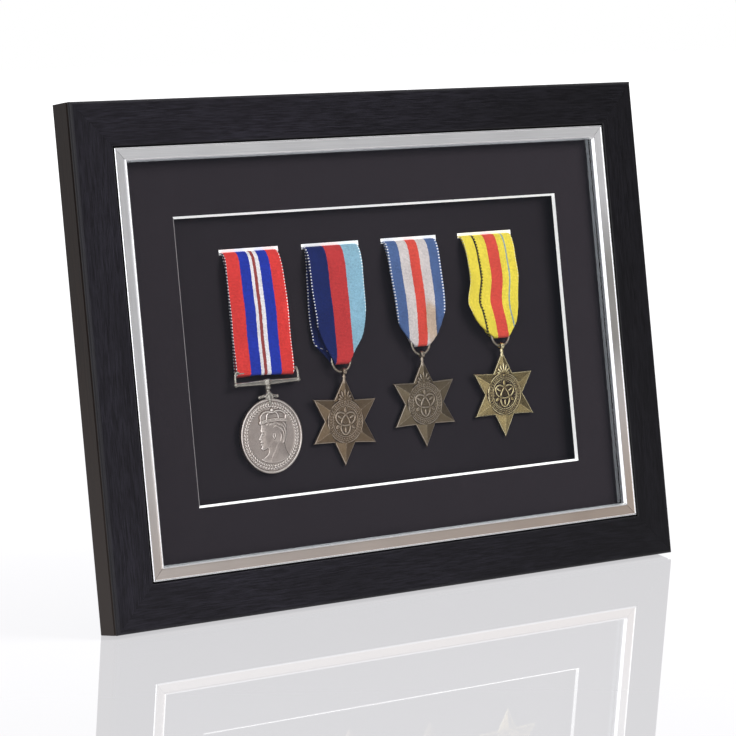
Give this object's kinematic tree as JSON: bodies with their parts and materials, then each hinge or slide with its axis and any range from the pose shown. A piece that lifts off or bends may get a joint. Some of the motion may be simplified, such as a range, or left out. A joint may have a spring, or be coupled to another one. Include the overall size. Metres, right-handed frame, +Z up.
{
  "type": "shadow box",
  "caption": "Shallow glazed display frame with a mitred black moulding, silver slip and window mount, holding medals on ribbons, leaning back on a hinged strut.",
  "frame": {"origin": "middle of the footprint on the surface it stands on: halfway between the frame's front edge and the strut's foot", "axes": "+X across the frame to the viewer's right, +Y from the glass towards the back, +Z up; the frame leans back 7.5 degrees about X"},
  "size_m": [0.3432, 0.0638, 0.2464],
  "materials": {
    "black_wood": "satin black wood-effect moulding, fine grain along each rail",
    "silver_leaf": "brushed silver leaf, warm where it reflects the floor",
    "clear_glass": "clear picture glass",
    "black_card": "matt black mount board",
    "foam_board": "off-white foam board",
    "hardboard": "black-faced hardboard",
    "zinc_plate": "zinc-plated pressed steel",
    "paper_tape": "gummed paper tape",
    "medal_silver": "worn silver-coloured metal",
    "dark_bronze": "dark toned bronze",
    "bright_bronze": "brighter toned bronze",
    "ribbon_cloth_1": "ribbed silk ribbon, red, blue and white stripes",
    "ribbon_cloth_2": "ribbed silk ribbon, navy, red and pale blue stripes",
    "ribbon_cloth_3": "ribbed silk ribbon, slate blue, cream and red stripes",
    "ribbon_cloth_4": "ribbed silk ribbon, yellow with black, red and pale blue stripes"
  },
  "bodies": {
    "root": {"rail_top": "black_wood", "rail_right": "black_wood", "rail_bottom": "black_wood", "rail_left": "black_wood", "slip_top": "silver_leaf", "slip_right": "silver_leaf", "slip_bottom": "silver_leaf", "slip_left": "silver_leaf", "glazing": "clear_glass", "window_mount": "black_card", "medal_board": "black_card", "spacer_top": "foam_board", "spacer_right": "foam_board", "spacer_bottom": "foam_board", "spacer_left": "foam_board", "back_panel": "hardboard", "button_screw_1": "zinc_plate", "button_screw_2": "zinc_plate", "button_screw_3": "zinc_plate", "button_screw_4": "zinc_plate", "corner_nail_1": "zinc_plate", "corner_nail_2": "zinc_plate", "corner_nail_3": "zinc_plate", "corner_nail_4": "zinc_plate", "hanger_strap_1": "zinc_plate", "hanger_strap_2": "zinc_plate", "hanger_screw_1": "zinc_plate", "hanger_screw_2": "zinc_plate", "hinge_leaf_fixed": "zinc_plate", "hinge_pin": "zinc_plate", "panel_rivet_1": "zinc_plate", "panel_rivet_2": "zinc_plate", "tape_strip_1": "paper_tape", "tape_strip_2": "paper_tape", "tape_strip_3": "paper_tape", "tape_strip_4": "paper_tape", "ribbon_1": "ribbon_cloth_1", "ribbon_2": "ribbon_cloth_2", "ribbon_3": "ribbon_cloth_3", "ribbon_4": "ribbon_cloth_4"},
    "strut": {"strut_leg": "hardboard", "hinge_leaf_moving": "zinc_plate", "leg_rivet_1": "zinc_plate", "leg_rivet_2": "zinc_plate"},
    "round_medal": {"suspender": "medal_silver", "round_medal": "medal_silver"},
    "turn_button_1": {"turn_button_1": "zinc_plate"},
    "turn_button_2": {"turn_button_2": "zinc_plate"},
    "turn_button_3": {"turn_button_3": "zinc_plate"},
    "turn_button_4": {"turn_button_4": "zinc_plate"},
    "hanger_ring_1": {"hanger_ring_1": "zinc_plate"},
    "hanger_ring_2": {"hanger_ring_2": "zinc_plate"},
    "jump_ring_2": {"jump_ring_2": "dark_bronze"},
    "star_2": {"star_2": "dark_bronze"},
    "jump_ring_3": {"jump_ring_3": "dark_bronze"},
    "star_3": {"star_3": "dark_bronze"},
    "jump_ring_4": {"jump_ring_4": "bright_bronze"},
    "star_4": {"star_4": "bright_bronze"}
  },
  "joints": [
    {"name": "strut_fold", "type": "hinge", "parent": "root", "child": "strut", "pos_m": [0, 0.00855, 0.17318], "axis": [-1, 0, 0], "range_deg": [0, 15]},
    {"name": "turn_button_1_turn", "type": "hinge", "parent": "root", "child": "turn_button_1", "pos_m": [-0.08, 0.01358, 0.22819], "axis": [0, 0.9914, -0.1305], "range_deg": [-90, 90]},
    {"name": "turn_button_2_turn", "type": "hinge", "parent": "root", "child": "turn_button_2", "pos_m": [0.08, 0.01358, 0.22819], "axis": [0, 0.9914, -0.1305], "range_deg": [-90, 90]},
    {"name": "turn_button_3_turn", "type": "hinge", "parent": "root", "child": "turn_button_3", "pos_m": [0.08, -0.01432, 0.01632], "axis": [0, 0.9914, -0.1305], "range_deg": [-90, 90]},
    {"name": "turn_button_4_turn", "type": "hinge", "parent": "root", "child": "turn_button_4", "pos_m": [-0.08, -0.01432, 0.01632], "axis": [0, 0.9914, -0.1305], "range_deg": [-90, 90]},
    {"name": "hanger_ring_1_swing", "type": "hinge", "parent": "root", "child": "hanger_ring_1", "pos_m": [-0.1596, 0.00969, 0.18412], "axis": [1, 0, 0], "range_deg": [-3, 158]},
    {"name": "hanger_ring_2_swing", "type": "hinge", "parent": "root", "child": "hanger_ring_2", "pos_m": [0.1596, 0.00969, 0.18412], "axis": [1, 0, 0], "range_deg": [-3, 158]},
    {"name": "round_medal_tilt", "type": "hinge", "parent": "root", "child": "round_medal", "pos_m": [-0.07, -0.00925, 0.1146], "axis": [-1, 0, 0], "range_deg": [0, 2.4]},
    {"name": "star_2_sway", "type": "hinge", "parent": "root", "child": "jump_ring_2", "pos_m": [-0.0252, -0.00911, 0.1164], "axis": [0, -0.9914, 0.1305], "range_deg": [-5, 5]},
    {"name": "star_2_tilt", "type": "hinge", "parent": "jump_ring_2", "child": "star_2", "pos_m": [-0.02423, -0.00983, 0.11093], "axis": [-1, 0, 0], "range_deg": [0, 2.8]},
    {"name": "star_3_sway", "type": "hinge", "parent": "root", "child": "jump_ring_3", "pos_m": [0.0245, -0.0085, 0.12106], "axis": [0, -0.9914, 0.1305], "range_deg": [-5, 5]},
    {"name": "star_3_tilt", "type": "hinge", "parent": "jump_ring_3", "child": "star_3", "pos_m": [0.0245, -0.00923, 0.1155], "axis": [-1, 0, 0], "range_deg": [0, 2.8]},
    {"name": "star_4_sway", "type": "hinge", "parent": "root", "child": "jump_ring_4", "pos_m": [0.0757, -0.00844, 0.12145], "axis": [0, -0.9914, 0.1305], "range_deg": [-5, 5]},
    {"name": "star_4_tilt", "type": "hinge", "parent": "jump_ring_4", "child": "star_4", "pos_m": [0.0757, -0.00918, 0.1159], "axis": [-1, 0, 0], "range_deg": [0, 2.8]}
  ]
}
